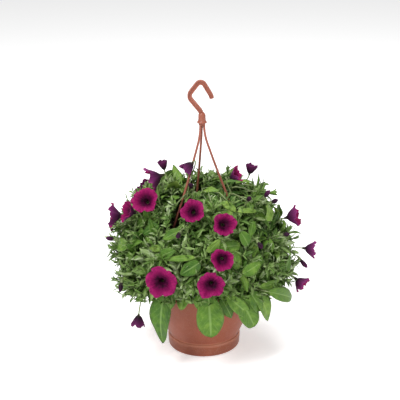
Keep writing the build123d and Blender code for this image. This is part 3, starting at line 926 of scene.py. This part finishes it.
def grow_large_leaves(materials):
    """The broad leaves that stand out of the foliage and hang over the rim, each on its stalk."""
    rng = np.random.default_rng(77)
    mesh = Mesh("leaf")
    for outline, azimuth, height, tip_azimuth, tip_height, stand_off, width, fold, shade in LARGE_LEAVES:
        base = outline_point(azimuth, height, stand_off)
        tip = outline_point(tip_azimuth, tip_height, stand_off + 3)
        outward = unit((base + tip) / 2 * np.array([1, 1, 0]))
        length = np.linalg.norm(tip - base) * 1.06
        leaf = {
            "base": base,
            "forward": unit(unit(tip - base) + outward * 0.25),
            "normal": unit(outward + UP * 0.3 + rng.normal(0, 0.12, 3)),
            "length": length,
            "width": width * MM,
            "bend": rng.uniform(0.45, 0.75),
            "fold": fold,
            "ripple": rng.uniform(0.03, 0.07),
            "phase": rng.uniform(*ANY_TURN),
        }
        batch = {key: np.array(value)[None] for key, value in leaf.items()}
        u, v, side, quads = LEAF_GRIDS[outline]
        mesh.add(leaf_points(outline, **batch)[0], quads, leaf_values(u, v, side, shade))
        line = curve_between(base - outward * 0.03, base + leaf["forward"] * 0.004, outward, leaf["forward"])
        add_tube(mesh, line, np.full(len(line), 0.0011), 0.5, 1)
    large = mesh.make("leaves_large", [materials["broad_leaf"], materials["shoot"]])
    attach(large, "basket")


# ---- flowers
LOBES = 5
BLOOM_SIDES = 100
BLOOM_RINGS = 36
PETAL_THICKNESS = 0.00035
NECK_RADIUS = 0.0016
# The rim's ruffles: how many waves go round, and their height as a share of the flower's radius.
RUFFLES = ((2, 0.07), (5, 0.11), (8, 0.06), (13, 0.05), (21, 0.035))


def bloom_front(radius, openness, rng):
    """The face of a ruffled five-lobed trumpet about +Z, with its rim near the origin.

    Returns its rings of points, how far round and how far out each lies, and the trumpet's depth."""
    turn = full_turn(BLOOM_SIDES)[None, :]
    reach = np.linspace(0, 1, BLOOM_RINGS)[:, None]
    depth = 0.7 * radius + 0.012
    throat = 0.12 + 0.18 * openness
    flare = np.clip((reach - throat) / (1 - throat), 0, 1)
    neck = np.clip(reach / throat, 0, 1)
    mouth = (0.15 + 0.10 * openness) * radius
    notch = 0.10 + 0.05 * openness
    lobes = 1 - notch + notch * np.abs(np.cos(LOBES / 2 * turn)) ** 0.5
    lobes = lobes + 0.02 * np.sin(11 * turn + rng.uniform(*ANY_TURN))
    uneven = 0.035 + 0.04 * (1 - openness)
    for wave_count in (1, 2, 3):
        lobes = lobes + uneven * np.sin(wave_count * turn + rng.uniform(*ANY_TURN))
    spread = mouth + (radius * lobes - mouth) * flare ** (0.60 + 0.25 * openness)
    out = np.where(reach < throat, NECK_RADIUS + (mouth - NECK_RADIUS) * neck**1.6, spread)
    sunk = -depth * (0.93 - 0.58 * openness)
    bell = sunk * (1 - flare) ** (1.0 + 0.8 * openness)
    height = np.where(reach < throat, -depth + (depth + sunk) * neck, bell)
    waves = np.zeros_like(turn)
    for wave_count, share in RUFFLES:
        waves = waves + share * rng.uniform(0.7, 1.4) * np.sin(wave_count * turn + rng.uniform(*ANY_TURN))
    height = height + radius * waves * flare**2.2 - 0.14 * openness * radius * flare**4
    pleats = 0.045 * radius * np.cos(LOBES * turn + math.pi) * np.clip(flare * 3, 0, 1) * (1 - flare)
    return revolved(out, turn, height + pleats), turn, reach, depth


def bloom_shell(front, turn, reach):
    """A thin closed shell behind a flower's face: its points, quads and the values its material reads."""
    along = unit(np.gradient(front, axis=0))
    around = unit(np.roll(front, -1, axis=1) - np.roll(front, 1, axis=1))
    normal = unit(np.cross(along, around))
    back = front - normal * PETAL_THICKNESS
    index = np.arange(front[..., 0].size).reshape(front.shape[:2])
    under = index + index.size
    under[-1] = index[-1]
    foot, foot_under = index[0], under[0]
    base = np.stack([foot, np.roll(foot, -1), np.roll(foot_under, -1), foot_under], axis=-1)
    quads = np.concatenate([ring_walls(index), ring_walls(under, reverse=True), base])
    face = petal_values(turn, reach, 0.0, index.shape)
    behind = petal_values(turn, reach[:-1], 1.0, index[:-1].shape)
    points = np.concatenate([front.reshape(-1, 3), back[:-1].reshape(-1, 3)])
    return points, quads, np.concatenate([face, behind])


def petal_values(turn, reach, back, shape):
    """What a petal's material reads: share of the way round, reach outwards, and 1 on its back."""
    parts = (turn / FULL_TURN, reach, back)
    return np.stack([np.broadcast_to(part, shape).ravel() for part in parts], axis=1)


def placed(points, middle, facing, roll):
    """Points made about +Z, turned to face a heading and moved to a place."""
    side, normal = cross_frames(facing[None, :], UP[None, :] + np.array([[0.01, 0.02, 0]]))
    side, normal = -side[0], normal[0]
    right = math.cos(roll) * side + math.sin(roll) * normal
    upward = -math.sin(roll) * side + math.cos(roll) * normal
    return middle + points[:, :1] * right + points[:, 1:2] * upward + points[:, 2:3] * facing


# A sepal is a small leaf: its width, bend, fold, ripple and phase.
SEPAL = (0.0034, -0.5, 0.2, 0.0, 0.0)
SEPALS = 5
STALK_RADII = (0.0009, 0.0013)
# What is green on a flower or a bud uses its second material.
GREEN = 1


def add_calyx(mesh, base, facing, length, rng):
    """Five narrow sepals that clasp the foot of a flower."""
    turn = np.arange(SEPALS) * FULL_TURN / SEPALS + rng.uniform(0, 1)
    side, normal = cross_frames(facing[None, :], UP[None, :] + 0.013)
    radial = round_about(side, normal, turn)
    forward = unit(facing + radial * 0.35)
    measures = [np.full(SEPALS, value) for value in (length, *SEPAL)]
    u, v, _, quads = LEAF_GRIDS["small"]
    values = np.stack([u, v, np.full(len(u), 0.6)], axis=1)
    for sepal in leaf_points("small", base + radial * 0.0012, forward, -radial, *measures):
        mesh.add(sepal, quads, values, GREEN)


def add_stalk(mesh, foot, base, facing):
    """The flower's own stalk, out of the leaves and into its calyx."""
    outward = unit(foot - CORE)
    hanging = foot[2] < RIM_HEIGHT
    start = foot - outward * 0.018 + (UP * 0.025 if hanging else 0)
    leaving = unit(outward - UP * 0.6) if hanging else outward
    line = curve_between(start, base, leaving, facing, 10)
    add_tube(mesh, line, np.linspace(*STALK_RADII, len(line)), 0.4, GREEN, 8)


# The style thickens into its stigma, and is dark like the throat.
STYLE_RADII = (0.0004, 0.0004, 0.0004, 0.0006, 0.0009)
STYLE_SHADE = np.array([0.0, 0.15, 1.0])


def grow_bloom(name, place, number, materials):
    """One flower with calyx, stalk and style. A wilted one is furled, and dark on both sides."""
    middle, radius, foot, facing = place
    openness = OPENNESS.get(name, FAR_OPEN)
    rng = np.random.default_rng(500 + number)
    mesh = Mesh("petal")
    front, turn, reach, depth = bloom_front(radius, openness, rng)
    points, quads, values = bloom_shell(front, turn, reach)
    if openness < WILTED:
        values[:, 1] *= WILTED_REACH
        values[:, 2] = 1.0
    mesh.add(placed(points, middle, facing, rng.uniform(*ANY_TURN)), quads, values)
    base = middle - facing * depth
    add_calyx(mesh, base - facing * 0.001, facing, 0.011, rng)
    add_stalk(mesh, foot, base, facing)
    style = np.linspace(base + facing * 0.004, middle - facing * 0.5 * radius, 5)
    add_tube(mesh, style, STYLE_RADII, STYLE_SHADE)
    flower = mesh.make(f"{name}_flower", [materials["petal"], materials["shoot"]])
    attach(flower, "basket")
    return flower


BUD_SIDES = 30
BUD_RINGS = 26
# A bud's length: at least, at most, and as a share of its solid's diagonal.
BUD_LENGTH = (0.020, 0.030)
BUD_SHARE = 0.675


def grow_bud(name, place, number, materials):
    """One furled bud: a spirally pleated spindle held in its calyx, on a bent stalk."""
    tip, foot, facing = place
    rng = np.random.default_rng(900 + number)
    low, high = (np.array(corner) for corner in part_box(name))
    length = float(np.clip(BUD_SHARE * np.linalg.norm(high - low), *BUD_LENGTH))
    turn = full_turn(BUD_SIDES)[None, :]
    along = np.linspace(0, 1, BUD_RINGS)[:, None]
    profile = 0.0013 + 0.0034 * np.sin(math.pi * along**1.5) ** 0.8 * (0.4 + 0.6 * along)
    pleat = 1 + 0.16 * np.cos(LOBES * turn + 4.5 * along) * np.clip(along * 2, 0, 1)
    out = profile * pleat * (1 - 0.93 * along**10)
    points = placed(revolved(out, turn, (along - 1) * length).reshape(-1, 3), tip, facing, 0.0)
    values = petal_values(turn, along * BUD_COLOUR.get(name, WITHERED), 1.0, out.shape)
    mesh = Mesh("petal")
    mesh.add(points, closed_rings(BUD_RINGS, BUD_SIDES, reverse=True), values)
    base = tip - facing * length
    add_calyx(mesh, base - facing * 0.001, facing, 0.013, rng)
    add_stalk(mesh, foot, base, facing)
    bud = mesh.make(f"{name}_furled", [materials["petal"], materials["shoot"]])
    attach(bud, "basket")
    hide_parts(name)


def grow_flowers(materials):
    """Every flower and bud, in the place of its CAD solid."""
    far = []
    for number, (name, place) in enumerate(BLOOMS.items()):
        flower = grow_bloom(name, place, number, materials)
        if name in NODES:
            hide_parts(name)
        else:
            far.append(flower)
    for flower in far:
        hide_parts("blooms_back")
    for number, (name, place) in enumerate(BUDS.items()):
        grow_bud(name, place, number, materials)


# ---- compost
COMPOST_SIDES = 120
COMPOST_RINGS = 40
COMPOST_WALL_RINGS = 7
LUMPS = 60
LUMP_HEIGHT = 0.004
TOP_CLEAR = 0.001
# The root ball's lower radius as a share of its upper one.
COMPOST_TAPER = 0.52


def make_compost(material):
    """Root ball with a crumbly top: a closed turned body whose top is raised in lumps."""
    low, high = (np.array(corner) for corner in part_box("compost"))
    rng = np.random.default_rng(7)
    turn = full_turn(COMPOST_SIDES)[None, :]
    share = np.linspace(0.01, 1, COMPOST_RINGS)[:, None]
    lumps = np.zeros((COMPOST_RINGS, COMPOST_SIDES))
    for _ in range(LUMPS):
        centre = rng.uniform(-1, 1, 2)
        gap = (share * np.cos(turn) - centre[0]) ** 2 + (share * np.sin(turn) - centre[1]) ** 2
        lumps = lumps + rng.uniform(0.2, 1.0) * np.exp(-gap / rng.uniform(0.001, 0.02))
    radius = high[0]
    top_height = high[2] - TOP_CLEAR - LUMP_HEIGHT * np.clip(1.5 - lumps, 0, 1.5) / 1.5
    top = revolved(share * radius, turn, top_height)
    wall_share = np.linspace(1, COMPOST_TAPER, COMPOST_WALL_RINGS + 1)[1:, None]
    wall_height = np.linspace(high[2], low[2], COMPOST_WALL_RINGS + 1)[1:, None]
    body = np.concatenate([top, revolved(wall_share * radius, turn, wall_height)])
    mesh = Mesh()
    mesh.add(body.reshape(-1, 3), closed_rings(len(body), COMPOST_SIDES))
    piece = mesh.make("compost_surface", [material])
    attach(piece, "basket")
    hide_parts("compost")


def paint_nodes(names, material):
    """Give CAD nodes a better material."""
    for name in names:
        for slot in NODES[name].material_slots:
            slot.link = "OBJECT"
            slot.material = material


add_camera()
add_studio()
# Leaf colours from the deepest shade to the palest.
# The darkest colours mostly serve as painted shade on the leaves deep in the foliage.
SMALL_LEAF_GREENS = [
    (0.0, (0.010, 0.036, 0.002)),
    (0.35, (0.045, 0.116, 0.010)),
    (0.60, (0.112, 0.222, 0.030)),
    (0.82, (0.255, 0.375, 0.125)),
    (1.0, (0.500, 0.600, 0.360)),
]
BROAD_LEAF_GREENS = [
    (0.0, (0.012, 0.042, 0.006)),
    (0.35, (0.038, 0.108, 0.010)),
    (0.65, (0.092, 0.195, 0.020)),
    (1.0, (0.235, 0.360, 0.065)),
]
MATERIALS = {
    "leaf": leaf_material("leaf", SMALL_LEAF_GREENS, (0.36, 0.44, 0.22)),
    "broad_leaf": leaf_material("broad_leaf", BROAD_LEAF_GREENS, (0.30, 0.44, 0.14)),
    "shoot": spotted_material("shoot", (0.16, 0.22, 0.07), (0.24, 0.30, 0.13), 300.0, 0.6, 0.0003),
    "petal": petal_material(),
    "compost": spotted_material("compost", (0.012, 0.007, 0.004), (0.05, 0.03, 0.018), 260.0, 0.9, 0.002),
}
# The pot and the saucer both carry the painted light along their seam.
POT = plastic_material("pot_plastic", (0.220, 0.051, 0.023), (0.297, 0.072, 0.034), 0.2, SEAM)
SAUCER = plastic_material("saucer_plastic", (0.230, 0.060, 0.030), (0.300, 0.083, 0.042), 0.3, SEAM)
HANGER = plastic_material("hanger_plastic", (0.30, 0.090, 0.056), (0.38, 0.125, 0.085), 0.15)
paint_nodes(["pot"], POT)
paint_nodes(["saucer"], SAUCER)
paint_nodes(["hook", "hanger_root", *STRAND_NODES], HANGER)
paint_nodes([name for name in NODES if name.startswith("stem_")], MATERIALS["shoot"])
make_compost(MATERIALS["compost"])
for clump_number, clump_name in enumerate(LEAF_NODES):
    grow_clump(clump_name, clump_number, MATERIALS)
grow_reaching_shoots(MATERIALS)
grow_large_leaves(MATERIALS)
grow_flowers(MATERIALS)
